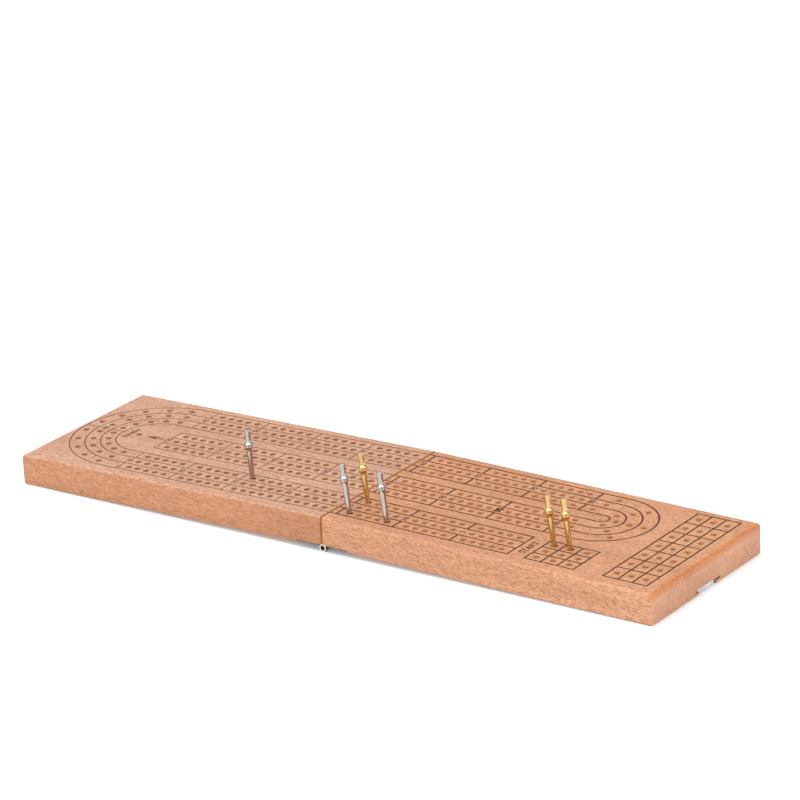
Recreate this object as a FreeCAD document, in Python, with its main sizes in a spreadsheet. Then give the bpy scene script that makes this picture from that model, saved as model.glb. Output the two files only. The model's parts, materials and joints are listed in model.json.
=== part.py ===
import FreeCAD, Part
import os
import Sketcher

# A folding cribbage board in two halves on a strip hinge, open and standing as it does on a table:
# the hinge barrel touches the table under the joint and the outer edges touch it at both ends, so
# each half slopes down a little from the joint. X runs along the board with the joint at 0, Y runs
# across it, Z is up and 0 on the table. Millimetres.
#
# Each half and everything fixed to it is drawn in that half's own flat frame, with Z 0 on its
# underside and X 0 at the joint, and is tilted about the hinge pin by its Placement.

V = FreeCAD.Vector
doc = FreeCAD.newDocument("cribbage_board")
dims = doc.addObject("Spreadsheet::Sheet", "dims")

DRIVING_DIMENSIONS = [
    # the two halves
    ("board_length", 354.0),
    ("board_width", 96.0),
    ("board_thickness", 15.0),
    ("joint_gap", 0.15),
    ("top_round", 1.8),
    ("foot_round", 1.2),
    ("corner_round", 1.5),
    # peg holes and the three tracks of three lanes
    ("hole_radius", 1.6),
    ("hole_depth", 7.0),
    ("hole_pitch", 5.2),
    ("holes_per_group", 5),
    ("group_pitch", 31.2),
    ("lane_pitch", 7.5),
    ("row_pitch", 30.0),
    ("track_shift", 0.5),
    ("left_groups", 4),
    ("right_groups", 3),
    ("right_start", 3.4),
    # big curve at the left end, from the near row round to the far row
    ("big_curve_run", 8.3),
    ("big_curve_first_angle", 9.5),
    ("big_curve_outer_step", 18.2),
    ("big_curve_middle_step", 18.8),
    ("big_curve_inner_step", 19.3),
    ("big_curve_holes", 5),
    ("finish_hole_reach", 9.2),
    # small curve at the right end, from the far row back to the middle row
    ("small_curve_x", 111.9),
    ("small_curve_holes", 3),
    ("small_curve_outer_step", 48.5),
    ("small_curve_middle_step", 49.0),
    ("small_curve_inner_step", 55.0),
    ("small_curve_outer_back", 4.2),
    ("small_curve_middle_back", 6.8),
    ("small_curve_inner_back", 9.4),
    # start grid and games grid
    ("start_x", 110.4),
    ("start_pitch", 8.6),
    ("games_x", 150.7),
    ("games_shift", 1.3),
    ("games_pitch", 11.8),
    ("games_rows", 7),
    ("grid_columns", 3),
    # strip hinge
    ("pivot_drop", 0.45),
    ("barrel_radius", 1.8),
    ("barrel_clearance", 0.25),
    ("hinge_length", 95.0),
    ("leaf_width", 14.0),
    ("leaf_gauge", 0.8),
    ("recess_width", 14.5),
    ("knuckles", 9),
    ("knuckle_gap", 0.3),
    ("pin_radius", 1.1),
    ("pin_clearance", 0.05),
    ("pin_length", 90.0),
    # hinge screws
    ("screw_x", 8.5),
    ("screw_pitch", 36.0),
    ("screws_per_leaf", 3),
    ("screw_radius", 1.0),
    ("screw_head_radius", 1.8),
    ("screw_length", 6.0),
    ("screw_point", 1.5),
    ("screw_play", 0.05),
    ("screw_slot_width", 0.45),
    ("screw_slot_depth", 0.4),
    # peg compartment under the right half and its sliding cover
    ("slot_half_width", 7.6),
    ("groove_half_width", 10.5),
    ("groove_floor", 1.7),
    ("groove_height", 1.3),
    ("groove_round_x", 96.0),
    ("compartment_start", 97.0),
    ("compartment_end", 165.0),
    ("compartment_half_width", 7.0),
    ("compartment_ceiling", 7.4),
    ("compartment_round", 2.5),
    ("cover_gauge", 1.0),
    ("cover_side_play", 0.3),
    ("cover_lift", 0.15),
    ("cover_setback", 0.9),
    ("lip_half_width", 7.3),
    ("lip_bottom", 0.5),
    # pegs
    ("peg_length", 31.0),
    ("peg_radius", 1.15),
    ("peg_tip_radius", 0.6),
    ("peg_tip_height", 0.4),
    ("peg_foot_radius", 0.9),
    ("peg_taper_height", 8.0),
    ("peg_neck_radius", 1.4),
    ("peg_neck_height", 21.3),
    ("peg_bead_radius", 2.1),
    ("peg_bead_height", 22.9),
    ("peg_waist_radius", 1.75),
    ("peg_waist_height", 23.4),
    ("peg_collar_radius", 2.4),
    ("peg_collar_height", 23.8),
    ("peg_collar_thickness", 0.6),
    ("peg_shoulder_height", 25.2),
    ("peg_head_radius", 1.25),
    ("peg_crown_radius", 1.4),
    ("peg_crown_height", 0.3),
    ("peg_lift", 0.12),
    ("peg_lean", 7.4),
    ("peg_small_lean", 3.0),
    ("peg_mouth_offset", 0.38),
]


def fill_sheet():
    """Write the driving dimensions, one to a row, with the name as its cell's alias."""
    for row, (name, size) in enumerate(DRIVING_DIMENSIONS, 1):
        dims.set(f"A{row}", name)
        dims.set(f"B{row}", str(size))
        dims.setAlias(f"B{row}", name)
    doc.recompute()


def size_of(name):
    """The plain number in the sheet's cell of that name."""
    return float(dims.get(name))


# Expressions that several sub-parts share.
HALF_LENGTH = "(dims.board_length / 2)"
REACH = f"({HALF_LENGTH} - dims.foot_round)"
RISE = "(dims.foot_round + dims.pivot_drop)"
BARREL_STAND = "(dims.barrel_radius - dims.foot_round)"
TILT = f"(atan({RISE} / {REACH}) + asin({BARREL_STAND} / sqrt({REACH}^2 + {RISE}^2)))"
LEAF_TOP = "(dims.barrel_radius - dims.pivot_drop)"
LEAF_BOTTOM = f"({LEAF_TOP} - dims.leaf_gauge)"
GROOVE_TOP = "(dims.groove_floor + dims.groove_height)"
KNUCKLE_LENGTH = "(dims.hinge_length / dims.knuckles)"
SCREW_TOP = f"({LEAF_BOTTOM} + dims.screw_length)"
NEAR_ROW = "(dims.track_shift - dims.row_pitch)"
NEAREST_LANE = f"({NEAR_ROW} - dims.lane_pitch)"
BIG_CURVE_X = "(dims.left_groups * dims.group_pitch + dims.big_curve_run)"

LEFT, RIGHT = -1, 1


def new_body(name):
    """An empty body whose Label is the node's name."""
    body = doc.addObject("PartDesign::Body", name)
    body.Label = name
    return body


def new_sketch(body, name, role="XY_Plane", across="0", up="0", out="0"):
    """A sketch on one of the body's own planes, its origin moved to (across, up, out)."""
    plane = next(feature for feature in body.Origin.OriginFeatures if feature.Role == role)
    sketch = body.newObject("Sketcher::SketchObject", f"{body.Name}_{name}")
    sketch.AttachmentSupport = [(plane, "")]
    sketch.MapMode = "FlatFace"
    sketch.setExpression("AttachmentOffset.Base.x", across)
    sketch.setExpression("AttachmentOffset.Base.y", up)
    sketch.setExpression("AttachmentOffset.Base.z", out)
    return sketch


def fix_point(sketch, curve, end, x, y):
    """Hold one point of a curve at (x, y) from the sketch's origin."""
    for kind, distance in (("DistanceX", x), ("DistanceY", y)):
        number = sketch.addConstraint(Sketcher.Constraint(kind, -1, 1, curve, end, 1.0))
        sketch.setExpression(f"Constraints[{number}]", distance)


def draw_polygon(sketch, corners):
    """A closed outline of straight lines through corners, each a pair of expressions."""
    count = len(corners)
    rough = Part.makeCircle(1.0).discretize(count + 1)
    first = sketch.GeometryCount
    for number in range(count):
        sketch.addGeometry(Part.LineSegment(rough[number], rough[number + 1]))
    for number in range(count):
        after = first + (number + 1) % count
        sketch.addConstraint(Sketcher.Constraint("Coincident", first + number, 2, after, 1))
    for number, (x, y) in enumerate(corners):
        fix_point(sketch, first + number, 1, x, y)


def draw_rectangle(sketch, left, right, bottom, top):
    draw_polygon(sketch, [(left, bottom), (right, bottom), (right, top), (left, top)])


def draw_circle(sketch, radius, x="0", y="0"):
    curve = sketch.addGeometry(Part.Circle(V(1, 1, 0), V(0, 0, 1), 1.0))
    fix_point(sketch, curve, 3, x, y)
    number = sketch.addConstraint(Sketcher.Constraint("Radius", curve, 1.0))
    sketch.setExpression(f"Constraints[{number}]", radius)


def pad(body, sketch, length, both_ways=False):
    feature = body.newObject("PartDesign::Pad", f"{sketch.Name}_pad")
    feature.Profile = sketch
    feature.Midplane = both_ways
    feature.setExpression("Length", length)
    doc.recompute()
    return feature


def cut(body, sketch, depth, both_ways=False):
    """A pocket that goes against the sketch's normal; it has to take material away."""
    before = body.Tip.Shape.Volume
    feature = body.newObject("PartDesign::Pocket", f"{sketch.Name}_pocket")
    feature.Profile = sketch
    feature.Midplane = both_ways
    feature.setExpression("Length", depth)
    doc.recompute()
    if not feature.Shape.Volume < before:
        raise RuntimeError(f"{feature.Name} cuts nothing")
    return feature


def turn(body, kind, sketch):
    """A Revolution or Groove of the sketch about its own vertical axis."""
    feature = body.newObject(f"PartDesign::{kind}", f"{sketch.Name}_turned")
    feature.Profile = sketch
    feature.ReferenceAxis = (sketch, ["V_Axis"])
    feature.Angle = 360
    doc.recompute()
    return feature


def linear_step(body, sketch, axis, spacing, count, backwards=False):
    pattern = body.newObject("PartDesign::LinearPattern", f"{sketch.Name}_along")
    pattern.Direction = (sketch, [axis])
    pattern.Reversed = backwards
    pattern.Mode = "Spacing"
    pattern.setExpression("Offset", spacing)
    pattern.setExpression("Occurrences", count)
    return pattern


def polar_step(body, sketch, spacing, count, backwards=False):
    pattern = body.newObject("PartDesign::PolarPattern", f"{sketch.Name}_round")
    pattern.Axis = (sketch, ["N_Axis"])
    pattern.Reversed = backwards
    pattern.Mode = "Spacing"
    pattern.setExpression("Offset", spacing)
    pattern.setExpression("Occurrences", count)
    return pattern


def mirror_step(body, sketch):
    pattern = body.newObject("PartDesign::Mirrored", f"{sketch.Name}_mirrored")
    pattern.MirrorPlane = (sketch, ["H_Axis"])
    return pattern


def repeat(body, feature, steps):
    """Repeat one feature by the given steps, each applied to all that the last one made."""
    many = body.newObject("PartDesign::MultiTransform", f"{feature.Name}_repeated")
    many.Originals = [feature]
    many.Transformations = steps
    body.Tip = many
    doc.recompute()
    return many


def round_edges(body, name, radius, chosen):
    """Round the edges of the body's tip for which chosen(edge's box) is true."""
    base = body.Tip
    names = [
        f"Edge{number}"
        for number, edge in enumerate(base.Shape.Edges, 1)
        if chosen(edge.BoundBox)
    ]
    feature = body.newObject("PartDesign::Fillet", f"{body.Name}_{name}")
    feature.Base = (base, names)
    feature.setExpression("Radius", radius)
    doc.recompute()
    return feature


def place_on_half(body, side):
    """Tilt a piece drawn in a half's flat frame about the hinge pin, down at its outer end."""
    body.setExpression("Placement.Rotation.Axis.x", "0")
    body.setExpression("Placement.Rotation.Axis.y", "1")
    body.setExpression("Placement.Rotation.Axis.z", "0")
    body.setExpression("Placement.Rotation.Angle", f"{side} * {TILT}")
    body.setExpression("Placement.Base.x", f"{side} * dims.pivot_drop * sin({TILT})")
    body.setExpression("Placement.Base.z", f"dims.barrel_radius + dims.pivot_drop * cos({TILT})")


# --- peg holes -----------------------------------------------------------------------------------


def peg_hole(body, name, centre_x, centre_y, x="0", y="0"):
    """One blind hole from the top face, at (x, y) from the centre that its pattern turns about."""
    sketch = new_sketch(body, name, "XY_Plane", centre_x, centre_y, "dims.board_thickness")
    draw_circle(sketch, "dims.hole_radius", x, y)
    doc.recompute()
    return sketch, cut(body, sketch, "dims.hole_depth")


def drill_tracks(body, side, first_x, groups):
    """Three rows of three lanes, in groups of five holes, from the joint outwards."""
    sketch, hole = peg_hole(body, "track_hole", first_x, NEAREST_LANE)
    outwards = side == LEFT
    repeat(body, hole, [
        linear_step(body, sketch, "H_Axis", "dims.hole_pitch", "dims.holes_per_group", outwards),
        linear_step(body, sketch, "H_Axis", "dims.group_pitch", groups, outwards),
        linear_step(body, sketch, "V_Axis", "dims.lane_pitch", "3"),
        linear_step(body, sketch, "V_Axis", "dims.row_pitch", "3"),
    ])


def drill_big_curve(body):
    """Ten holes to a lane round the left end, the same on both sides of the middle line."""
    for lane, offset in (("outer", "+"), ("middle", "+ 0 *"), ("inner", "-")):
        radius = f"(dims.row_pitch {offset} dims.lane_pitch)"
        first = "dims.big_curve_first_angle"
        sketch, hole = peg_hole(
            body, f"big_curve_{lane}", f"-{BIG_CURVE_X}", "dims.track_shift",
            f"-{radius} * cos({first})", f"{radius} * sin({first})")
        repeat(body, hole, [
            polar_step(body, sketch, f"dims.big_curve_{lane}_step", "dims.big_curve_holes", True),
            mirror_step(body, sketch),
        ])


def drill_small_curve(body):
    """Three holes to a lane round the curve, and one more on each straight that leads to it."""
    for lane, lanes_out in (("outer", 1.5), ("middle", 1.0), ("inner", 0.5)):
        radius = f"({lanes_out} * dims.row_pitch / 2)"
        step = f"dims.small_curve_{lane}_step"
        centre = ("dims.small_curve_x", "dims.track_shift + dims.row_pitch / 2")
        sketch, hole = peg_hole(
            body, f"small_curve_{lane}", *centre,
            f"{radius} * cos({step})", f"-{radius} * sin({step})")
        repeat(body, hole, [polar_step(body, sketch, step, "dims.small_curve_holes")])
        sketch, hole = peg_hole(
            body, f"small_curve_{lane}_lead", *centre,
            f"-dims.small_curve_{lane}_back", f"-{radius}")
        repeat(body, hole, [linear_step(body, sketch, "V_Axis", f"2 * {radius}", "2")])


def drill_grids(body):
    """The nine starting holes and the three columns that count games."""
    sketch, hole = peg_hole(body, "start_hole", "dims.start_x", NEAREST_LANE)
    repeat(body, hole, [
        linear_step(body, sketch, "H_Axis", "dims.start_pitch", "dims.grid_columns"),
        linear_step(body, sketch, "V_Axis", "dims.lane_pitch", "3"),
    ])
    lowest = "dims.games_shift - dims.games_pitch * (dims.games_rows - 1) / 2"
    sketch, hole = peg_hole(body, "games_hole", "dims.games_x", lowest)
    repeat(body, hole, [
        linear_step(body, sketch, "H_Axis", "dims.lane_pitch", "dims.grid_columns"),
        linear_step(body, sketch, "V_Axis", "dims.games_pitch", "dims.games_rows"),
    ])


# --- the two wooden halves -----------------------------------------------------------------------


def wooden_half(name, side):
    """A plank with rounded outer edges, a square joint face, and room below for the hinge."""
    body = new_body(name)
    near, far = "-dims.board_width / 2", "dims.board_width / 2"
    inner, outer = f"{side} * dims.joint_gap", f"{side} * {HALF_LENGTH}"
    sketch = new_sketch(body, "outline")
    left, right = (outer, inner) if side == LEFT else (inner, outer)
    draw_rectangle(sketch, left, right, near, far)
    pad(body, sketch, "dims.board_thickness")

    end = size_of("board_length") / 2
    top = size_of("board_thickness")
    small = 0.01

    def off_the_joint(box):
        return max(abs(box.XMin), abs(box.XMax)) > end / 2

    round_edges(body, "corners", "dims.corner_round", lambda box:
                box.ZLength > top / 2 and off_the_joint(box))
    round_edges(body, "top_edges", "dims.top_round", lambda box:
                box.ZMin > top - small and off_the_joint(box))
    round_edges(body, "foot_edges", "dims.foot_round", lambda box:
                box.ZMax < small and off_the_joint(box))

    cut_hinge_room(body, side)
    drill_screw_pilots(body, side)
    place_on_half(body, side)
    return body


def cut_hinge_room(body, side):
    """A shallow recess for the leaf across the whole width, and a groove for the barrel."""
    inner, outer = f"-{side}", f"{side} * dims.recess_width"
    left, right = (outer, inner) if side == LEFT else (inner, outer)
    sketch = new_sketch(body, "leaf_recess", out=LEAF_TOP)
    draw_rectangle(sketch, left, right, "-dims.board_width / 2 - 1", "dims.board_width / 2 + 1")
    cut(body, sketch, LEAF_TOP)
    sketch = new_sketch(body, "barrel_groove", "XZ_Plane")
    draw_circle(sketch, "dims.barrel_radius + dims.barrel_clearance", "0", "-dims.pivot_drop")
    cut(body, sketch, "dims.board_width + 2", both_ways=True)


def drill_screw_pilots(body, side):
    sketch = new_sketch(
        body, "screw_pilot", "XY_Plane", f"{side} * dims.screw_x",
        "-dims.screw_pitch * (dims.screws_per_leaf - 1) / 2", f"{SCREW_TOP} + dims.screw_play")
    draw_circle(sketch, "dims.screw_radius + dims.screw_play")
    pilot = cut(body, sketch, "dims.screw_length")
    repeat(body, pilot, [
        linear_step(body, sketch, "V_Axis", "dims.screw_pitch", "dims.screws_per_leaf"),
    ])


def build_left_board():
    body = wooden_half("left_board", LEFT)
    first_x = "-dims.group_pitch + dims.holes_per_group * dims.hole_pitch"
    drill_tracks(body, LEFT, first_x, "dims.left_groups")
    drill_big_curve(body)
    peg_hole(body, "finish_hole", f"-{BIG_CURVE_X} - dims.finish_hole_reach", "dims.track_shift")


def build_right_board():
    body = wooden_half("right_board", RIGHT)
    cut_compartment(body)
    drill_tracks(body, RIGHT, "dims.right_start + dims.hole_pitch", "dims.right_groups")
    drill_small_curve(body)
    drill_grids(body)


def tongue(body, name, half_width, end_x, out):
    """The two sketches of a strip from end_x back to a half-round end, as a cutter leaves it."""
    strip = new_sketch(body, f"{name}_strip", out=out)
    draw_rectangle(strip, "dims.groove_round_x", end_x, f"-{half_width}", half_width)
    yield strip
    tip = new_sketch(body, f"{name}_tip", out=out)
    draw_circle(tip, half_width, "dims.groove_round_x")
    yield tip


def cut_compartment(body):
    """A room for the pegs, open below, with a T-shaped groove for its cover out to the end."""
    past_end = f"({HALF_LENGTH} + 1)"
    half_width = "dims.compartment_half_width"
    sketch = new_sketch(body, "compartment", out="dims.compartment_ceiling")
    draw_rectangle(
        sketch, "dims.compartment_start", "dims.compartment_end",
        f"-{half_width}", half_width)
    cut(body, sketch, "dims.compartment_ceiling")

    start, end = size_of("compartment_start"), size_of("compartment_end")

    def compartment_corner(box):
        upright = box.ZLength > 1.0 and box.XLength < 0.01 and box.YLength < 0.01
        return upright and min(abs(box.XMin - start), abs(box.XMin - end)) < 0.01

    round_edges(body, "compartment_corners", "dims.compartment_round", compartment_corner)
    for sketch in tongue(body, "slot", "dims.slot_half_width", past_end, "dims.groove_floor"):
        cut(body, sketch, "dims.groove_floor")
    for sketch in tongue(body, "groove", "dims.groove_half_width", past_end, GROOVE_TOP):
        cut(body, sketch, "dims.groove_height")


# --- the hinge -----------------------------------------------------------------------------------


def build_hinge_leaf(name, side):
    """A flat leaf rolled into knuckles round the pin; the other leaf's knuckles fit between."""
    body = new_body(name)
    inner, outer = "0", f"{side} * dims.leaf_width"
    left, right = (outer, inner) if side == LEFT else (inner, outer)
    sketch = new_sketch(body, "sheet", "XZ_Plane")
    draw_rectangle(sketch, left, right, LEAF_BOTTOM, LEAF_TOP)
    pad(body, sketch, "dims.hinge_length", both_ways=True)
    sketch = new_sketch(body, "barrel", "XZ_Plane")
    draw_circle(sketch, "dims.barrel_radius", "0", "-dims.pivot_drop")
    pad(body, sketch, "dims.hinge_length", both_ways=True)
    sketch = new_sketch(body, "pin_bore", "XZ_Plane")
    draw_circle(sketch, "dims.pin_radius + dims.pin_clearance", "0", "-dims.pivot_drop")
    cut(body, sketch, "dims.hinge_length + 2", both_ways=True)
    cut_knuckle_gaps(body, side)
    drill_leaf(body, side)
    place_on_half(body, side)


def cut_knuckle_gaps(body, side):
    """Clear the knuckles of the other leaf: every second length, from the right leaf's second."""
    first = "0" if side == LEFT else KNUCKLE_LENGTH
    gaps = "(dims.knuckles + 1) / 2" if side == LEFT else "(dims.knuckles - 1) / 2"
    near = "-dims.hinge_length / 2"
    reach = "(dims.barrel_radius + dims.barrel_clearance)"
    sketch = new_sketch(body, "knuckle_gap", "XY_Plane", "0", near, LEAF_TOP + " + 1")
    draw_rectangle(
        sketch, f"-{reach}", reach,
        f"{first} - dims.knuckle_gap / 2",
        f"{first} + {KNUCKLE_LENGTH} + dims.knuckle_gap / 2")
    gap = cut(body, sketch, "2 * dims.barrel_radius + 2")
    repeat(body, gap, [linear_step(body, sketch, "V_Axis", f"2 * {KNUCKLE_LENGTH}", gaps)])


def screw_seat_profile(sketch, play):
    """Half of a countersunk head's seat and its shank's hole, wider by play all round."""
    head = f"(dims.screw_head_radius + {play})"
    shank = f"(dims.screw_radius + {play})"
    cone = "(dims.screw_head_radius - dims.screw_radius)"
    draw_polygon(sketch, [
        ("0", "-0.5"), (head, "-0.5"), (head, "0"), (shank, cone),
        (shank, "dims.leaf_gauge + 0.5"), ("0", "dims.leaf_gauge + 0.5")])


def drill_leaf(body, side):
    near = "dims.screw_pitch * (dims.screws_per_leaf - 1) / 2"
    sketch = new_sketch(body, "screw_seat", "XZ_Plane", f"{side} * dims.screw_x", LEAF_BOTTOM, near)
    screw_seat_profile(sketch, "dims.screw_play")
    seat = turn(body, "Groove", sketch)
    repeat(body, seat, [
        linear_step(body, sketch, "N_Axis", "dims.screw_pitch", "dims.screws_per_leaf", True),
    ])


def build_hinge_screws(name, side):
    """The countersunk screws of one leaf, heads level with the leaf, points up in the wood."""
    body = new_body(name)
    near = "dims.screw_pitch * (dims.screws_per_leaf - 1) / 2"
    head_x = f"{side} * dims.screw_x"
    sketch = new_sketch(body, "screw", "XZ_Plane", head_x, LEAF_BOTTOM, near)
    cone = "(dims.screw_head_radius - dims.screw_radius)"
    draw_polygon(sketch, [
        ("0", "0"), ("dims.screw_head_radius", "0"), ("dims.screw_radius", cone),
        ("dims.screw_radius", "dims.screw_length - dims.screw_point"),
        ("0", "dims.screw_length")])
    screw = turn(body, "Revolution", sketch)
    slot = cut_drive_slot(body, side)
    many = body.newObject("PartDesign::MultiTransform", f"{name}_row")
    many.Originals = [screw, slot]
    many.Transformations = [
        linear_step(body, sketch, "N_Axis", "dims.screw_pitch", "dims.screws_per_leaf", True),
    ]
    body.Tip = many
    doc.recompute()
    place_on_half(body, side)


def cut_drive_slot(body, side):
    """A straight slot across the head for a screwdriver."""
    near = "-dims.screw_pitch * (dims.screws_per_leaf - 1) / 2"
    ceiling = f"{LEAF_BOTTOM} + dims.screw_slot_depth"
    sketch = new_sketch(body, "slot", "XY_Plane", f"{side} * dims.screw_x", near, ceiling)
    half_width, reach = "dims.screw_slot_width / 2", "dims.screw_head_radius * 1.1"
    draw_rectangle(sketch, f"-{half_width}", half_width, f"-{reach}", reach)
    return cut(body, sketch, "dims.screw_slot_depth + 0.5")


def build_hinge_pin():
    """A plain wire pin along Y, a little shorter than the barrel."""
    pin = doc.addObject("Part::Cylinder", "hinge_pin")
    pin.Label = "hinge_pin"
    pin.setExpression("Radius", "dims.pin_radius")
    pin.setExpression("Height", "dims.pin_length")
    pin.Placement.Rotation = FreeCAD.Rotation(V(1, 0, 0), -90)
    pin.setExpression("Placement.Base.y", "-dims.pin_length / 2")
    pin.setExpression("Placement.Base.z", "dims.barrel_radius")


# --- the cover of the peg compartment ------------------------------------------------------------


def build_cover():
    """A sheet plate that slides in the groove, its end bent down into a lip for a fingernail."""
    body = new_body("compartment_cover")
    end = f"({HALF_LENGTH} - dims.cover_setback)"
    plate_bottom = "(dims.groove_floor + dims.cover_lift)"
    half_width = "(dims.groove_half_width - dims.cover_side_play)"
    for sketch in tongue(body, "plate", half_width, end, plate_bottom):
        pad(body, sketch, "dims.cover_gauge")
    sketch = new_sketch(body, "lip", out="dims.lip_bottom")
    draw_rectangle(
        sketch, f"{end} - dims.cover_gauge", end, "-dims.lip_half_width", "dims.lip_half_width")
    pad(body, sketch, f"{plate_bottom} - dims.lip_bottom + dims.cover_gauge / 2")
    place_on_half(body, RIGHT)


# --- the pegs ------------------------------------------------------------------------------------


def build_peg(name, board, hole_x, hole_y, lean):
    """A turned peg with a bead and collar, leaning against the left of its hole's mouth."""
    body = new_body(name)
    sketch = new_sketch(body, "profile", "XZ_Plane")
    crown = "dims.peg_length - dims.peg_crown_height"
    draw_polygon(sketch, [
        ("0", "0"),
        ("dims.peg_tip_radius", "0"),
        ("dims.peg_foot_radius", "dims.peg_tip_height"),
        ("dims.peg_radius", "dims.peg_taper_height"),
        ("dims.peg_neck_radius", "dims.peg_neck_height"),
        ("dims.peg_bead_radius", "dims.peg_bead_height"),
        ("dims.peg_waist_radius", "dims.peg_waist_height"),
        ("dims.peg_collar_radius", "dims.peg_collar_height"),
        ("dims.peg_collar_radius", "dims.peg_collar_height + dims.peg_collar_thickness"),
        ("dims.peg_head_radius", "dims.peg_shoulder_height"),
        ("dims.peg_crown_radius", crown),
        ("dims.peg_head_radius", "dims.peg_length"),
        ("0", "dims.peg_length"),
    ])
    turn(body, "Revolution", sketch)
    foot_x = f"{hole_x} + dims.hole_depth * tan({lean}) - dims.peg_mouth_offset"
    foot_z = "dims.board_thickness - dims.hole_depth + dims.peg_lift"
    body.setExpression(
        "Placement",
        f"{board}.Placement * placement(vector({foot_x}; {hole_y}; {foot_z}); "
        f"rotation(vector(0; 1; 0); -{lean}))")


def build_pegs():
    """Three silver and three gold pegs, as they stand part way through a game."""
    near_outer = NEAREST_LANE
    near_inner = f"({NEAREST_LANE} + 2 * dims.lane_pitch)"
    lean, small_lean = "dims.peg_lean", "dims.peg_small_lean"
    third_group = "-(2 * dims.group_pitch - dims.hole_pitch)"
    first_right = "dims.right_start + dims.hole_pitch"
    fifth_right = "dims.right_start + dims.holes_per_group * dims.hole_pitch"
    second_start = "dims.start_x + dims.start_pitch"
    build_peg("silver_peg_1", "left_board", third_group, near_inner, small_lean)
    build_peg("silver_peg_2", "right_board", first_right, near_outer, lean)
    build_peg("silver_peg_3", "right_board", fifth_right, near_outer, lean)
    build_peg("gold_peg_1", "right_board", first_right, near_inner, lean)
    build_peg("gold_peg_2", "right_board", "dims.start_x", near_inner, lean)
    build_peg("gold_peg_3", "right_board", second_start, near_inner, lean)


# --- making, testing and writing -----------------------------------------------------------------


NODES = [
    "left_board", "right_board", "hinge_leaf_left", "hinge_leaf_right", "hinge_pin",
    "hinge_screws_left", "hinge_screws_right", "compartment_cover",
    "silver_peg_1", "silver_peg_2", "silver_peg_3", "gold_peg_1", "gold_peg_2", "gold_peg_3",
]


def build_all():
    fill_sheet()
    build_left_board()
    build_right_board()
    build_hinge_leaf("hinge_leaf_left", LEFT)
    build_hinge_leaf("hinge_leaf_right", RIGHT)
    build_hinge_pin()
    build_hinge_screws("hinge_screws_left", LEFT)
    build_hinge_screws("hinge_screws_right", RIGHT)
    build_cover()
    build_pegs()
    doc.recompute()


def write_parts():
    """Stop on any failed object or unsound shape, then write one file for each sub-part."""
    for item in doc.Objects:
        if "Invalid" in item.State or "Error" in item.State:
            raise RuntimeError(f"{item.Name} failed: {item.State}")
    shapes = {}
    for node in NODES:
        shape = doc.getObjectsByLabel(node)[0].Shape
        if shape.isNull() or not shape.isValid():
            raise RuntimeError(f"{node} has no sound shape")
        shapes[node] = shape
    os.makedirs("parts", exist_ok=True)
    for node, shape in shapes.items():
        shape.exportStep(f"parts/{node}.step")
        box = shape.BoundBox
        print(f"{node}: {len(shape.Solids)} solid(s), {shape.Volume:.1f} mm3, "
              f"x {box.XMin:.2f}..{box.XMax:.2f}, y {box.YMin:.2f}..{box.YMax:.2f}, "
              f"z {box.ZMin:.3f}..{box.ZMax:.2f}")


build_all()
write_parts()
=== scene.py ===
import json
import math

import bmesh
import bpy
from mathutils import Matrix, Vector


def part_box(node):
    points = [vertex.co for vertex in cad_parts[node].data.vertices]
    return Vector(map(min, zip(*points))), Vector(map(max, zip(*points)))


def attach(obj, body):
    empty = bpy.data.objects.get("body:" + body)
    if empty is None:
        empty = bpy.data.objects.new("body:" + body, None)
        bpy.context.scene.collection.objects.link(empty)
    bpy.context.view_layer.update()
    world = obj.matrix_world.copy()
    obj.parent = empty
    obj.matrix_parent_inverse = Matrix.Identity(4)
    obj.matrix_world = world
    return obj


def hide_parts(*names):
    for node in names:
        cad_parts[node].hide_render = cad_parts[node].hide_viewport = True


# The looks of a folding cribbage board on its strip hinge. Blender works in metres in the packed
# model's frame: X along the board with the joint at 0, Y across it, Z up from the table. What is
# printed on a half is laid out in millimetres in that half's own flat frame, with the joint at
# x 0 and its underside at z 0, and is tilted with the half by half_frame().

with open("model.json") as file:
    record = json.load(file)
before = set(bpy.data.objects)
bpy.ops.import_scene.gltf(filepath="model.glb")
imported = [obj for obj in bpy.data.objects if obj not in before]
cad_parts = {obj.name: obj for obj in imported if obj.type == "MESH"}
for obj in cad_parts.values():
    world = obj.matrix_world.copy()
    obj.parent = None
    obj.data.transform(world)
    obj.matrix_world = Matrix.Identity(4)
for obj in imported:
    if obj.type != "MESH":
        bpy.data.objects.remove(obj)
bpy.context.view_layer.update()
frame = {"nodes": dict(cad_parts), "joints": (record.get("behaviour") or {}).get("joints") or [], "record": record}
record = frame["record"]

MM = 0.001
LEFT, RIGHT = -1, 1
BODY_OF_SIDE = {LEFT: "left_half", RIGHT: "right_half"}

# How the halves stand, from the record: the hinge pin's height, the tilt, and how far the pin is
# below the flat underside.
fold = next(joint for joint in frame["joints"] if joint["name"] == "fold")
underside = next(mount for mount in record["mounts"] if mount["name"] == "underside")
PIN_HEIGHT = fold["pos_m"][2]
TILT = math.atan2(-underside["axis"][0], -underside["axis"][2])
PIVOT_DROP = (underside["pos_m"][0] * math.sin(TILT)
              + (underside["pos_m"][2] - PIN_HEIGHT) * math.cos(TILT))

# The layout of the tracks, in millimetres, as it is drilled.
BOARD_THICKNESS = 15.0
TRACK_SHIFT = 0.5
LANE_PITCH = 7.5
ROW_PITCH = 30.0
GROUP_PITCH = 31.2
LEFT_GROUPS, RIGHT_GROUPS = 4, 3
RIGHT_START = 3.4
BIG_CURVE_X = -(LEFT_GROUPS * GROUP_PITCH + 8.3)
SMALL_CURVE_X = 111.9
START_X, START_PITCH = 110.4, 8.6
GAMES_X, GAMES_PITCH, GAMES_SHIFT, GAMES_ROWS = 150.7, 11.8, 1.3, 7
GRID_COLUMNS = 3

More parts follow.
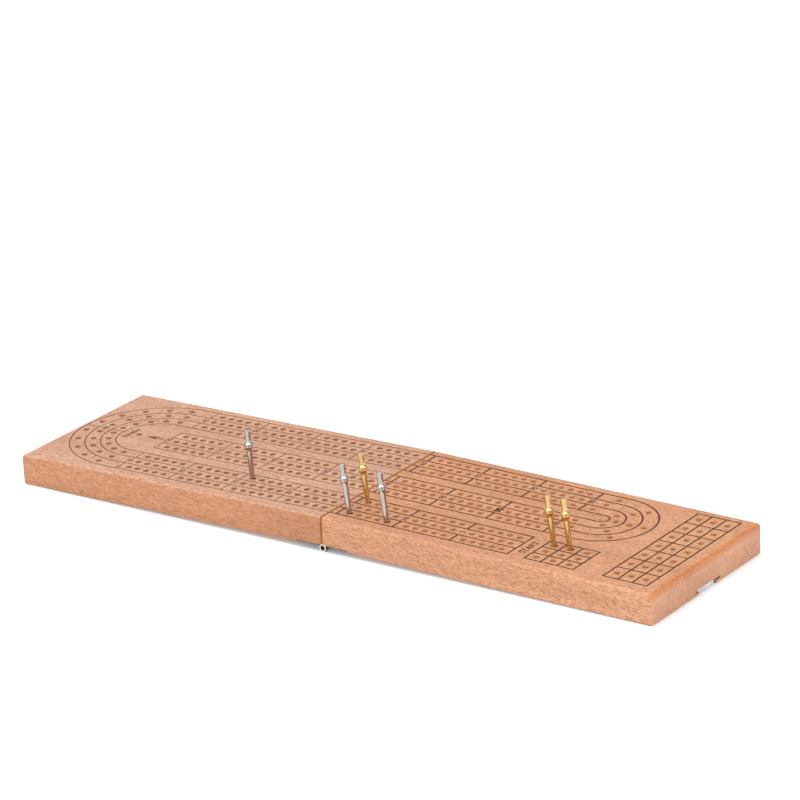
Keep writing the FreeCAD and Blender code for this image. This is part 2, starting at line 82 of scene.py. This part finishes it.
# The print: how wide its lines are, and how far it stands proud of the wood. Lines that cross
# have heights of their own, so that no two faces lie in one plane.
LINE_WIDTH = {LEFT: 0.58, RIGHT: 0.86}
DIVIDER_WIDTH = {LEFT: 0.62, RIGHT: 1.0}
LANE_HEIGHT, DIVIDER_HEIGHT, RULE_HEIGHT = 0.030, 0.024, 0.018
PRINT_FOOT = -0.01
ARC_STEP = math.radians(3.0)


def half_frame(side):
    """From a half's own flat frame, in metres, to the row frame."""
    return (Matrix.Translation((0, 0, PIN_HEIGHT))
            @ Matrix.Rotation(side * TILT, 4, "Y")
            @ Matrix.Translation((0, 0, PIVOT_DROP)))


# --- node trees ----------------------------------------------------------------------------------


def new_material(name):
    material = bpy.data.materials.new(name)
    material.use_nodes = True
    tree = material.node_tree
    tree.nodes.clear()
    shader = tree.nodes.new("ShaderNodeBsdfPrincipled")
    output = tree.nodes.new("ShaderNodeOutputMaterial")
    tree.links.new(shader.outputs["BSDF"], output.inputs["Surface"])
    return material, tree, shader


def add(tree, kind, inputs=None, **settings):
    """A node with its settings, its inputs joined to sockets or set to plain values."""
    node = tree.nodes.new("ShaderNode" + kind)
    for name, value in settings.items():
        setattr(node, name, value)
    for name, value in (inputs or {}).items():
        join(tree, node.inputs[name], value)
    return node


def join(tree, socket, value):
    if isinstance(value, bpy.types.NodeSocket):
        tree.links.new(value, socket)
    else:
        socket.default_value = value


def scaled(tree, vector, size, turn=(0, 0, 0)):
    """Coordinates for marks of that size in millimetres, turned by angles in degrees."""
    inputs = {"Vector": vector, "Scale": [length * MM for length in size],
              "Rotation": [math.radians(angle) for angle in turn]}
    return add(tree, "Mapping", inputs, vector_type="TEXTURE").outputs["Vector"]


def noise(tree, vector, detail=2.0, rough=0.5, bend=0.0):
    inputs = {"Vector": vector, "Scale": 1.0, "Detail": detail,
              "Roughness": rough, "Distortion": bend}
    return add(tree, "TexNoise", inputs).outputs["Fac"]


def steps(tree, value, low, high, low_result=0.0, high_result=1.0):
    """A smooth step from low_result to high_result as value goes from low to high."""
    inputs = {"Value": value, "From Min": low, "From Max": high,
              "To Min": low_result, "To Max": high_result}
    node = add(tree, "MapRange", inputs, interpolation_type="SMOOTHSTEP")
    return node.outputs["Result"]


def maths(tree, operation, first, second=0.0):
    node = tree.nodes.new("ShaderNodeMath")
    node.operation = operation
    join(tree, node.inputs[0], first)
    join(tree, node.inputs[1], second)
    return node.outputs["Value"]


def magnitude(tree, value):
    return maths(tree, "ABSOLUTE", value)


def product(tree, first, *others):
    """All the values multiplied together."""
    result = first
    for value in others:
        result = maths(tree, "MULTIPLY", result, value)
    return result


def split(tree, vector):
    """The X, Y and Z of a vector."""
    return add(tree, "SeparateXYZ", {"Vector": vector}).outputs


def blended(tree, share, first, second, kind="MIX"):
    """The first colour with that share of the second mixed in, or multiplied in."""
    node = tree.nodes.new("ShaderNodeMix")
    node.data_type = "RGBA"
    node.blend_type = kind
    join(tree, node.inputs[0], share)
    join(tree, node.inputs[6], first)
    join(tree, node.inputs[7], second)
    return node.outputs[2]


def grey(tree, value):
    """A grey colour as bright as value, which may be over 1."""
    inputs = {"Red": value, "Green": value, "Blue": value}
    return add(tree, "CombineColor", inputs).outputs["Color"]


def bumped(tree, height, distance, strength=1.0):
    inputs = {"Height": height, "Distance": distance, "Strength": strength}
    return add(tree, "Bump", inputs).outputs["Normal"]


# --- materials -----------------------------------------------------------------------------------

# How strongly the flecks of the wood show, how much they waver, and the fine ones' share of that
# strength on the top and on the sides.
FLECK_DEPTH, FLECK_SWAY = 0.80, 0.4
FINE_ON_TOP, FINE_ON_SIDE = 1.0, 0.6
# Flecks: their size in millimetres, how they are turned in degrees, how much of its cell each one
# fills, and the share of cells that have one.
BOLD_FLECKS = (4.2, 0.62, 0.62), (0, 11.0, 0), 0.42, 0.95
FINE_FLECKS = (2.8, 0.6, 0.6), (0, 2.0, -5.0), 0.5, 0.75
# The walls of the holes are within this length and width, in metres, and the wood's outer faces
# are beyond it. The faces at the joint are nearer to it than JOINT_REACH. A wall counts as upright
# while its normal's Z is below the last value.
INNER_LENGTH, INNER_WIDTH, JOINT_REACH, UPRIGHT = 0.1755, 0.0462, 0.001, 0.3
# The darker, more orange band on the upper edge of a half's outer end begins between these
# distances from the joint and these heights, in metres. Its colour is a share of the wood's.
BAND_START, BAND_FOOT = (0.1746, 0.1756), (0.0111, 0.0125)
END_BAND = (1.0, 0.73, 0.40, 1.0)
# The wood is darker along the joint. It fades between these distances, in metres.
JOINT_DARK_REACH, JOINT_DARK_COLOUR = (0.0007, 0.0011), (0.38, 0.13, 0.01, 1.0)
# How deep the marks in each surface are, in metres.
GRAIN_DEPTH, INK_DEPTH, POLISH_DEPTH = 0.00003, 0.00001, 0.000004
# The hinge's barrel is within this distance of the joint, in metres.
BARREL_REACH = 0.0019
FLOOR_GLOW = 0.15


def flecks(tree, place, size, turn, spread, share):
    """1 on short wavy marks and 0 between them."""
    place = scaled(tree, place, size, turn)
    sway = add(tree, "TexNoise", {"Vector": place, "Scale": 0.9, "Detail": 2.0}).outputs["Color"]
    swayed = blended(tree, FLECK_SWAY, place, sway, "ADD")
    cells = {"Vector": swayed, "Scale": 1.0, "Randomness": 1.0}
    cell = add(tree, "TexVoronoi", cells).outputs
    chosen = add(tree, "SeparateColor", {"Color": cell["Color"]}).outputs["Red"]
    near = steps(tree, cell["Distance"], spread * 0.55, spread, 1.0, 0.0)
    return product(tree, near, steps(tree, chosen, 0.9 - share, 1.0 - share))


def hole_wall(tree, place, facing):
    """1 on the upright faces inside the wood, which are the walls of its holes."""
    at = split(tree, place)
    within_length = maths(tree, "LESS_THAN", magnitude(tree, at["X"]), INNER_LENGTH)
    within_width = maths(tree, "LESS_THAN", magnitude(tree, at["Y"]), INNER_WIDTH)
    off_joint = maths(tree, "GREATER_THAN", magnitude(tree, at["X"]), JOINT_REACH)
    upright = maths(tree, "LESS_THAN", magnitude(tree, facing["Z"]), UPRIGHT)
    return product(tree, within_length, within_width, off_joint, upright)


def end_band(tree, place, mottle):
    """How much of the band's colour shows on the upper edge of a half's outer end."""
    at = split(tree, place)
    outermost = steps(tree, magnitude(tree, at["X"]), *BAND_START)
    high = steps(tree, at["Z"], *BAND_FOOT)
    patchy = steps(tree, mottle, 0.3, 0.6, 0.55, 1.0)
    return product(tree, outermost, high, patchy)


def beech_material(name, light, dark, fleck_colour, hole_painted_light, top_painted_sheen, side_painted_shading):
    """Lacquered beech with its grain along X: short dark flecks that slant across the sawn sides,
    finer ones along the top, and thin slanting rays on the smoother end grain. The top gets a
    painted sheen and the sides painted light and shade, each as a share of the rest's colour. The
    hole walls take a plain colour that is painted light."""
    material, tree, shader = new_material(name)
    place = add(tree, "TexCoord").outputs
    facing = split(tree, place["Normal"])
    place = place["Object"]
    top_on = steps(tree, facing["Z"], 0.6, 0.95)
    side_on = steps(tree, magnitude(tree, facing["Y"]), 0.35, 0.9)
    end_on = steps(tree, magnitude(tree, facing["X"]), 0.35, 0.9)
    along = maths(tree, "SUBTRACT", 1.0, end_on)

    broad = noise(tree, scaled(tree, place, (120.0, 14.0, 14.0)), 3.0, 0.55, 0.3)
    streaks = noise(tree, scaled(tree, place, (9.0, 0.8, 0.8), (0, 6.0, -4.0)), 3.0, 0.6)
    colour = blended(tree, steps(tree, broad, 0.3, 0.7), light, dark)
    # Painted light: a painted sheen on the top, and painted light and shade on the sides.
    colour = blended(tree, top_on, colour, top_painted_sheen, "MULTIPLY")
    colour = blended(tree, side_on, colour, side_painted_shading, "MULTIPLY")
    shade = steps(tree, streaks, 0.25, 0.75, 1.12, 0.86)
    colour = blended(tree, 1.0, colour, grey(tree, shade), "MULTIPLY")

    bold = flecks(tree, place, *BOLD_FLECKS)
    fine = flecks(tree, place, *FINE_FLECKS)
    fine_share = steps(tree, side_on, 0.0, 1.0, FINE_ON_TOP, FINE_ON_SIDE)
    marks = maths(tree, "MAXIMUM", product(tree, bold, side_on), product(tree, fine, fine_share))
    marks = product(tree, marks, along)
    colour = blended(tree, product(tree, marks, FLECK_DEPTH), colour, fleck_colour)

    rays = noise(tree, scaled(tree, place, (15.0, 5.0, 0.55), (14.0, 0, 0)), 2.0, 0.6)
    end_shade = steps(tree, rays, 0.35, 0.68, 1.05, 0.86)
    colour = blended(tree, end_on, colour, grey(tree, end_shade), "MULTIPLY")
    colour = blended(tree, end_band(tree, place, streaks), colour, END_BAND, "MULTIPLY")
    # Painted light: the walls of the holes take a plain colour, lighter than the wood's.
    colour = blended(tree, hole_wall(tree, place, facing), colour, hole_painted_light)
    from_joint = magnitude(tree, split(tree, place)["X"])
    joint_dark = product(tree, steps(tree, from_joint, *JOINT_DARK_REACH, 0.85, 0.0), along)
    colour = blended(tree, joint_dark, colour, JOINT_DARK_COLOUR)

    join(tree, shader.inputs["Base Color"], colour)
    join(tree, shader.inputs["Roughness"], steps(tree, streaks, 0.2, 0.8, 0.38, 0.5))
    height = maths(tree, "SUBTRACT", product(tree, streaks, 0.5), marks)
    join(tree, shader.inputs["Normal"], bumped(tree, height, GRAIN_DEPTH, 0.6))
    return material


def ink_material(name, colour):
    """Dark brown print that lets a little of the grain through."""
    material, tree, shader = new_material(name)
    place = add(tree, "TexCoord").outputs["Object"]
    worn = noise(tree, scaled(tree, place, (3.3, 0.67, 0.67)), 3.0, 0.6)
    paler = tuple(channel * 1.9 for channel in colour[:3]) + (1.0,)
    join(tree, shader.inputs["Base Color"], blended(tree, steps(tree, worn, 0.45, 0.8), colour, paler))
    join(tree, shader.inputs["Roughness"], steps(tree, worn, 0.2, 0.8, 0.5, 0.7))
    join(tree, shader.inputs["Normal"], bumped(tree, worn, INK_DEPTH))
    shader.inputs["Specular IOR Level"].default_value = 0.2
    return material


def metal_material(name, colour, rough, mark_size, barrel_end_painted_light=None):
    """Metal with fine marks of that size in millimetres; the last colour, if given, is painted light on a barrel's
    cut ends.
    """
    material, tree, shader = new_material(name)
    place = add(tree, "TexCoord").outputs
    marks = noise(tree, scaled(tree, place["Object"], mark_size), 4.0, 0.6)
    patches = noise(tree, scaled(tree, place["Object"], (8.0, 8.0, 8.0)), 2.0)
    duller = tuple(channel * 0.84 for channel in colour[:3]) + (1.0,)
    shown = blended(tree, steps(tree, patches, 0.3, 0.7), colour, duller)
    # Painted light: the ends of a barrel take a brighter colour than the rest of the metal.
    if barrel_end_painted_light:
        from_joint = magnitude(tree, split(tree, place["Object"])["X"])
        on_barrel = maths(tree, "LESS_THAN", from_joint, BARREL_REACH)
        facing_y = magnitude(tree, split(tree, place["Normal"])["Y"])
        end_on = steps(tree, facing_y, 0.8, 0.95)
        shown = blended(tree, product(tree, end_on, on_barrel), shown, barrel_end_painted_light)
    join(tree, shader.inputs["Base Color"], shown)
    join(tree, shader.inputs["Roughness"], steps(tree, marks, 0.2, 0.8, rough * 0.8, rough * 1.3))
    join(tree, shader.inputs["Normal"], bumped(tree, marks, POLISH_DEPTH))
    shader.inputs["Metallic"].default_value = 1.0
    return material


def floor_material():
    """A pale floor that glows a little, so that shadows on it stay light."""
    material, tree, shader = new_material("pale_floor")
    place = add(tree, "TexCoord").outputs["Object"]
    mottle = noise(tree, scaled(tree, place, (330.0, 330.0, 330.0)), 2.0)
    colour = blended(tree, mottle, (0.86, 0.90, 0.93, 1.0), (0.87, 0.91, 0.94, 1.0))
    join(tree, shader.inputs["Base Color"], colour)
    shader.inputs["Roughness"].default_value = 0.9
    shader.inputs["Specular IOR Level"].default_value = 0.1
    shader.inputs["Emission Color"].default_value = (1.0, 1.0, 1.0, 1.0)
    shader.inputs["Emission Strength"].default_value = FLOOR_GLOW
    return material


# --- the print on the wood -----------------------------------------------------------------------

# The four lines of a row, on both sides of its three lanes, and the outer two lanes' pairs.
LANE_EDGES = [LANE_PITCH * (number - 1.5) for number in range(4)]
OUTER_LANES = (LANE_EDGES[:2], LANE_EDGES[2:])
JOINT_MARGIN = 0.4
# Lettering: a capital's share of the font's size, and in millimetres how tall capitals are and how
# much each stroke is thickened.
CAPITAL_SHARE = 0.729
NUMBER_TALL, NUMBER_BOLD = 2.9, 0.09
START_TALL, FINISH_TALL, WORD_BOLD = 3.5, 2.9, 0.1
# The number that a losing player has to reach is printed heavier than the rest.
HEAVY_NUMBER, HEAVY_TALL, HEAVY_BOLD = 90, 3.6, 0.32
# Where each row of tracks is across the board, the number at its joint end, and by how much the
# numbers grow from group to group towards the left.
ROWS = ((-ROW_PITCH, 15, 5), (ROW_PITCH, 65, -5), (0, 100, 5))
CURVE_NUMBER = 40
# The way to the finishing hole, from the big curve's centre: the word, then the arrow's tip, the
# back of its head, the notch in that, and its tail.
FINISH_X, ARROW_TIP, ARROW_BACK, ARROW_NOTCH, ARROW_TAIL = -13.9, -4.3, 1.9, 0.7, 5.8
ARROW_HALF_WIDTH, ARROW_LINE_WIDTH = 2.1, 0.9


def arc(centre_x, centre_y, radius, first, last):
    """Points along an arc from angle first to angle last, in radians."""
    count = max(2, round(abs(last - first) / ARC_STEP))
    angles = [first + (last - first) * number / count for number in range(count + 1)]
    return [(centre_x + radius * math.cos(angle), centre_y + radius * math.sin(angle))
            for angle in angles]


class Print:
    """What is printed on one half, drawn flat in millimetres and gathered into one mesh."""

    def __init__(self, side):
        self.side = side
        self.width = LINE_WIDTH[side]
        self.mesh = bmesh.new()

    def corner(self, x, y, height):
        point = Vector((x, y + TRACK_SHIFT, BOARD_THICKNESS + height)) * MM
        return self.mesh.verts.new(point)

    def stroke(self, line, height, width=None):
        """A flat closed strip along a line of (x, y) points, square at its ends."""
        width = width or self.width
        rows = []
        for number, (x, y) in enumerate(line):
            before = Vector(line[max(number - 1, 0)])
            after = Vector(line[min(number + 1, len(line) - 1)])
            along = (after - before).normalized()
            across = Vector((-along.y, along.x)) * width / 2
            rows.append([
                self.corner(x + across.x, y + across.y, PRINT_FOOT),
                self.corner(x + across.x, y + across.y, height),
                self.corner(x - across.x, y - across.y, height),
                self.corner(x - across.x, y - across.y, PRINT_FOOT),
            ])
        for row, following in zip(rows, rows[1:]):
            for number in range(4):
                after = (number + 1) % 4
                self.mesh.faces.new(
                    (row[number], following[number], following[after], row[after]))
        self.mesh.faces.new(rows[0])
        self.mesh.faces.new(reversed(rows[-1]))

    def patch(self, outline, height):
        """A flat closed patch with that outline of (x, y) points."""
        top = [self.corner(x, y, height) for x, y in outline]
        foot = [self.corner(x, y, PRINT_FOOT) for x, y in outline]
        self.mesh.faces.new(top)
        self.mesh.faces.new(reversed(foot))
        for number in range(len(outline)):
            after = (number + 1) % len(outline)
            self.mesh.faces.new((top[after], top[number], foot[number], foot[after]))

    def words(self, text, x, y, tall, bold):
        """Plain lettering centred on (x, y) and read from the right end."""
        curve = bpy.data.curves.new("words", "FONT")
        curve.body = text
        curve.size = tall * MM / CAPITAL_SHARE
        curve.offset = bold * MM
        curve.extrude = (LANE_HEIGHT - PRINT_FOOT) / 2 * MM
        shape = bpy.data.objects.new("words", curve)
        drawn = bpy.data.meshes.new_from_object(shape)
        bpy.data.objects.remove(shape)
        bpy.data.curves.remove(curve)
        xs = [vertex.co.x for vertex in drawn.vertices]
        ys = [vertex.co.y for vertex in drawn.vertices]
        middle = Vector(((min(xs) + max(xs)) / 2, (min(ys) + max(ys)) / 2, 0))
        lift = BOARD_THICKNESS + (LANE_HEIGHT + PRINT_FOOT) / 2
        place = Vector((x, y + TRACK_SHIFT, lift)) * MM
        drawn.transform(
            Matrix.Translation(place) @ Matrix.Rotation(math.pi / 2, 4, "Z")
            @ Matrix.Translation(-middle))
        self.mesh.from_mesh(drawn)
        bpy.data.meshes.remove(drawn)

    def finish(self, name, material):
        """Make the print a piece of its own that lies on its half and moves with it."""
        bmesh.ops.recalc_face_normals(self.mesh, faces=self.mesh.faces)
        mesh = bpy.data.meshes.new(name)
        self.mesh.to_mesh(mesh)
        self.mesh.free()
        piece = bpy.data.objects.new(name, mesh)
        bpy.context.scene.collection.objects.link(piece)
        piece.matrix_world = half_frame(self.side)
        mesh.materials.append(material)
        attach(piece, BODY_OF_SIDE[self.side])


def divide(ink, x, row_y, number):
    """End a group of five: a line across the two outer lanes, with its number between them."""
    for first, last in OUTER_LANES:
        line = [(x, row_y + first), (x, row_y + last)]
        ink.stroke(line, DIVIDER_HEIGHT, DIVIDER_WIDTH[ink.side])
    tall, bold = (HEAVY_TALL, HEAVY_BOLD) if number == HEAVY_NUMBER else (NUMBER_TALL, NUMBER_BOLD)
    ink.words(str(number), x, row_y, tall, bold)


def print_left():
    """The big curve and its straights, the last row, and the way to the finishing hole."""
    ink = Print(LEFT)
    for edge in LANE_EDGES:
        radius = ROW_PITCH + edge
        curve = arc(BIG_CURVE_X, 0, radius, -math.pi / 2, -math.pi * 3 / 2)
        straight = [(-JOINT_MARGIN, -radius)] + curve + [(-JOINT_MARGIN, radius)]
        ink.stroke(straight, LANE_HEIGHT)
        ink.stroke([(-JOINT_MARGIN, edge), (-LEFT_GROUPS * GROUP_PITCH, edge)], LANE_HEIGHT)
    for group in range(1, LEFT_GROUPS + 1):
        for row_y, joint_number, growth in ROWS:
            divide(ink, -group * GROUP_PITCH, row_y, joint_number + growth * group)
    for first, last in OUTER_LANES:
        start, end = BIG_CURVE_X - ROW_PITCH - first, BIG_CURVE_X - ROW_PITCH - last
        ink.stroke([(start, 0), (end, 0)], DIVIDER_HEIGHT)
    ink.words(str(CURVE_NUMBER), BIG_CURVE_X - ROW_PITCH, 0, NUMBER_TALL, NUMBER_BOLD)

    back, notch = BIG_CURVE_X + ARROW_BACK, BIG_CURVE_X + ARROW_NOTCH
    head = [(BIG_CURVE_X + ARROW_TIP, 0), (back, -ARROW_HALF_WIDTH), (notch, 0),
            (back, ARROW_HALF_WIDTH)]
    ink.patch(head, DIVIDER_HEIGHT)
    ink.stroke([(notch, 0), (BIG_CURVE_X + ARROW_TAIL, 0)], RULE_HEIGHT, ARROW_LINE_WIDTH)
    ink.words("FINISH", BIG_CURVE_X + FINISH_X, 0, FINISH_TALL, WORD_BOLD)
    ink.finish("printed_tracks_left", ink_material("faded_ink", (0.11, 0.042, 0.022, 1.0)))


def print_grid(ink, xs, ys):
    """A grid ruled at those xs and ys."""
    for x in xs:
        ink.stroke([(x, ys[0]), (x, ys[-1])], LANE_HEIGHT)
    reach = ink.width / 2
    for y in ys:
        ink.stroke([(xs[0] - reach, y), (xs[-1] + reach, y)], RULE_HEIGHT)


def print_right():
    """The first row, the small curve between the far and middle rows, and the two grids."""
    ink = Print(RIGHT)
    last_x = RIGHT_START + RIGHT_GROUPS * GROUP_PITCH
    for edge in LANE_EDGES:
        radius = ROW_PITCH / 2 + edge
        curve = arc(SMALL_CURVE_X, ROW_PITCH / 2, radius, -math.pi / 2, math.pi / 2)
        near, far = ROW_PITCH / 2 - radius, ROW_PITCH / 2 + radius
        ink.stroke([(JOINT_MARGIN, near)] + curve + [(JOINT_MARGIN, far)], LANE_HEIGHT)
        ink.stroke([(JOINT_MARGIN, edge - ROW_PITCH), (last_x, edge - ROW_PITCH)], LANE_HEIGHT)
    for group in range(RIGHT_GROUPS + 1):
        for row_y, joint_number, growth in ROWS:
            number = joint_number - growth * group
            if number > 0:
                divide(ink, RIGHT_START + group * GROUP_PITCH, row_y, number)
    reach = ink.width / 2
    foot, head = LANE_EDGES[0] - ROW_PITCH - reach, LANE_EDGES[-1] - ROW_PITCH + reach
    ink.stroke([(last_x, foot), (last_x, head)], DIVIDER_HEIGHT)

    columns = range(GRID_COLUMNS + 1)
    start_xs = [START_X + START_PITCH * (number - 0.5) for number in columns]
    print_grid(ink, start_xs, [edge - ROW_PITCH for edge in LANE_EDGES])
    ink.words("START", (last_x + start_xs[0]) / 2, -ROW_PITCH, START_TALL, WORD_BOLD)
    games_xs = [GAMES_X + LANE_PITCH * (number - 0.5) for number in columns]
    middle = GAMES_SHIFT - TRACK_SHIFT
    games_ys = [middle + GAMES_PITCH * (number - GAMES_ROWS / 2) for number in range(GAMES_ROWS + 1)]
    print_grid(ink, games_xs, games_ys)
    ink.finish("printed_tracks_right", ink_material("dark_ink", (0.07, 0.02, 0.005, 1.0)))


# --- the pegs ------------------------------------------------------------------------------------

# How many faces go round a peg, and pieces round a corner of its outline. A corner's curve takes
# up at most CORNER_LIMIT of each line that meets there.
PEG_TURNS, CORNER_PIECES, CORNER_LIMIT = 40, 5, 0.45
# Half of a peg's outline: radius and height in millimetres, and the radius of that corner's round.
PEG_OUTLINE = [
    (0.0, 0.0, 0.0),
    (0.6, 0.0, 0.3),
    (0.9, 0.4, 0.3),
    (1.15, 8.0, 1.0),
    (1.4, 21.3, 1.0),
    (2.1, 22.9, 0.35),
    (1.75, 23.4, 0.2),
    (2.4, 23.8, 0.15),
    (2.4, 24.4, 0.25),
    (1.3, 25.2, 0.5),
    (1.25, 27.0, 1.0),
    (1.4, 30.6, 0.3),
    (1.25, 31.0, 0.2),
    (0.0, 31.0, 0.0),
]


def rounded(outline):
    """The outline's points, each corner replaced by a curve that meets both its lines."""
    points = []
    for number, (x, y, radius) in enumerate(outline):
        corner = Vector((x, y))
        if radius == 0.0:
            points.append(corner)
            continue
        before = Vector(outline[number - 1][:2])
        after = Vector(outline[number + 1][:2])
        back = (before - corner) * min(CORNER_LIMIT, radius / (before - corner).length)
        ahead = (after - corner) * min(CORNER_LIMIT, radius / (after - corner).length)
        for step in range(CORNER_PIECES + 1):
            share = step / CORNER_PIECES
            points.append(corner + back * (1 - share) ** 2 + ahead * share ** 2)
    return points


def lathe(name, outline, turns):
    """A closed turned mesh about Z, in metres, from half its outline in millimetres."""
    mesh = bmesh.new()
    angles = [2 * math.pi * number / turns for number in range(turns)]
    rings = []
    for point in rounded(outline):
        if point.x == 0.0:
            rings.append([mesh.verts.new((0, 0, point.y * MM))] * turns)
            continue
        rings.append([
            mesh.verts.new(Vector((math.cos(angle) * point.x, math.sin(angle) * point.x, point.y)) * MM)
            for angle in angles])
    for ring, following in zip(rings, rings[1:]):
        for number in range(turns):
            after = (number + 1) % turns
            corners = (ring[number], ring[after], following[after], following[number])
            mesh.faces.new(tuple(dict.fromkeys(corners)))
    bmesh.ops.recalc_face_normals(mesh, faces=mesh.faces)
    for face in mesh.faces:
        face.smooth = True
    made = bpy.data.meshes.new(name)
    mesh.to_mesh(made)
    mesh.free()
    return made


def place_of_peg(node, axis):
    """Where the foot of a CAD peg is, from its own mesh and the way it slides."""
    points = [vertex.co for vertex in frame["nodes"][node].data.vertices]
    across = Vector((axis.z, 0, -axis.x))
    sideways = [point.dot(across) for point in points]
    depths = [point.dot(axis) for point in points]
    low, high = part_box(node)
    foot = across * (min(sideways) + max(sideways)) / 2 + axis * min(depths)
    foot.y = (low.y + high.y) / 2
    return foot


def build_pegs(silver, gold):
    """A finely turned peg in place of each CAD one, riding on the same body."""
    for joint in frame["joints"]:
        if not joint["name"].endswith("_lift"):
            continue
        node = joint["child"]
        axis = Vector(joint["axis"]).normalized()
        metal, slot = (silver, "silver_metal") if "silver" in node else (gold, "gold_metal")
        mesh = lathe(f"{node}_turned", PEG_OUTLINE, PEG_TURNS)
        mesh.materials.append(metal)
        piece = bpy.data.objects.new(f"{node}_turned", mesh)
        bpy.context.scene.collection.objects.link(piece)
        turn = Vector((0, 0, 1)).rotation_difference(axis).to_matrix().to_4x4()
        piece.matrix_world = Matrix.Translation(place_of_peg(node, axis)) @ turn
        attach(piece, node)
        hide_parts(node)


# --- carried-over CAD parts ----------------------------------------------------------------------


def paint(node, material):
    mesh = frame["nodes"][node].data
    mesh.materials.clear()
    mesh.materials.append(material)


def paint_boards():
    left_wood = beech_material(
        "beech_left",
        light=(0.54, 0.275, 0.155, 1.0),
        dark=(0.47, 0.225, 0.12, 1.0),
        fleck_colour=(0.29, 0.10, 0.032, 1.0),
        hole_painted_light=(0.55, 0.26, 0.135, 1.0),
        top_painted_sheen=(0.96, 1.06, 1.2, 1.0),
        side_painted_shading=(0.94, 0.81, 0.66, 1.0))
    right_wood = beech_material(
        "beech_right",
        light=(0.57, 0.275, 0.145, 1.0),
        dark=(0.49, 0.22, 0.11, 1.0),
        fleck_colour=(0.28, 0.095, 0.03, 1.0),
        hole_painted_light=(0.66, 0.33, 0.165, 1.0),
        top_painted_sheen=(0.965, 0.94, 0.89, 1.0),
        side_painted_shading=(1.08, 1.12, 1.1, 1.0))
    paint("left_board", left_wood)
    paint("right_board", right_wood)


def paint_metal():
    # Painted shade: the hinge is dark brown, as it looks in its shaded recess. Painted light: the pin's orange
    # brown brightens the hollow of the barrel.
    hinge = metal_material(
        "hinge_steel_painted_shade", (0.20, 0.15, 0.11, 1.0), 0.4, (0.4, 7.0, 0.4), (0.66, 0.58, 0.50, 1.0))
    pin = metal_material("pin_steel_painted_light", (0.70, 0.38, 0.20, 1.0), 0.5, (0.4, 7.0, 0.4))
    screws = metal_material("screw_steel", (0.50, 0.49, 0.46, 1.0), 0.3, (0.7, 0.7, 0.7))
    cover = metal_material("cover_steel", (0.80, 0.80, 0.79, 1.0), 0.28, (7.0, 0.33, 0.33))
    for side in ("left", "right"):
        paint(f"hinge_leaf_{side}", hinge)
        paint(f"hinge_screws_{side}", screws)
    paint("hinge_pin", pin)
    paint("compartment_cover", cover)


# --- the studio ----------------------------------------------------------------------------------

CAMERA_PLACE = Vector((1.0569, -1.4755, 0.7346))
CAMERA_AIM = Vector((-0.0657, 0.1121, 0.0100))
CAMERA_ROLL = math.radians(-2.483)
CAMERA_LENS, CAMERA_SENSOR, CAMERA_NEAREST = 188.0, 36.0, 0.05
FLOOR_REACH = 6.0
WORLD_STRENGTH = 0.65


def build_camera():
    camera = bpy.data.objects.new("camera", bpy.data.cameras.new("camera"))
    bpy.context.scene.collection.objects.link(camera)
    camera.data.lens = CAMERA_LENS
    camera.data.sensor_width = CAMERA_SENSOR
    camera.data.clip_start = CAMERA_NEAREST
    look = (CAMERA_AIM - CAMERA_PLACE).to_track_quat("-Z", "Y").to_matrix().to_4x4()
    camera.matrix_world = (
        Matrix.Translation(CAMERA_PLACE) @ look @ Matrix.Rotation(CAMERA_ROLL, 4, "Z"))
    bpy.context.scene.camera = camera


def build_floor():
    mesh = bpy.data.meshes.new("floor")
    corners = [(x * FLOOR_REACH, y * FLOOR_REACH, 0) for x, y in ((-1, -1), (1, -1), (1, 1), (-1, 1))]
    mesh.from_pydata(corners, [], [(0, 1, 2, 3)])
    mesh.materials.append(floor_material())
    floor = bpy.data.objects.new("floor", mesh)
    bpy.context.scene.collection.objects.link(floor)


def softbox(name, place, width, height, power):
    """A white panel of light, aimed at the middle of the board."""
    light = bpy.data.lights.new(name, "AREA")
    light.shape = "RECTANGLE"
    light.size = width
    light.size_y = height
    light.energy = power
    lamp = bpy.data.objects.new(name, light)
    bpy.context.scene.collection.objects.link(lamp)
    turn = (-Vector(place)).to_track_quat("-Z", "Y").to_matrix().to_4x4()
    lamp.matrix_world = Matrix.Translation(place) @ turn


def build_light():
    world = bpy.data.worlds.new("studio")
    bpy.context.scene.world = world
    world.use_nodes = True
    background = world.node_tree.nodes["Background"]
    background.inputs["Color"].default_value = (1.0, 1.0, 1.0, 1.0)
    background.inputs["Strength"].default_value = WORLD_STRENGTH
    softbox("top_softbox", (-0.3, -0.1, 1.5), 1.8, 1.6, 24.0)
    softbox("front_softbox", (-0.5, -1.9, 0.8), 1.4, 1.0, 11.0)
    softbox("right_softbox", (1.9, -0.2, 0.7), 1.2, 0.9, 11.0)
    bpy.context.scene.view_settings.view_transform = "Standard"


silver_metal = metal_material("nickel", (0.48, 0.42, 0.39, 1.0), 0.16, (3.3, 3.3, 0.25))
gold_metal = metal_material("polished_brass", (0.72, 0.48, 0.20, 1.0), 0.16, (3.3, 3.3, 0.25))
build_camera()
build_floor()
build_light()
paint_boards()
paint_metal()
print_left()
print_right()
build_pegs(silver_metal, gold_metal)
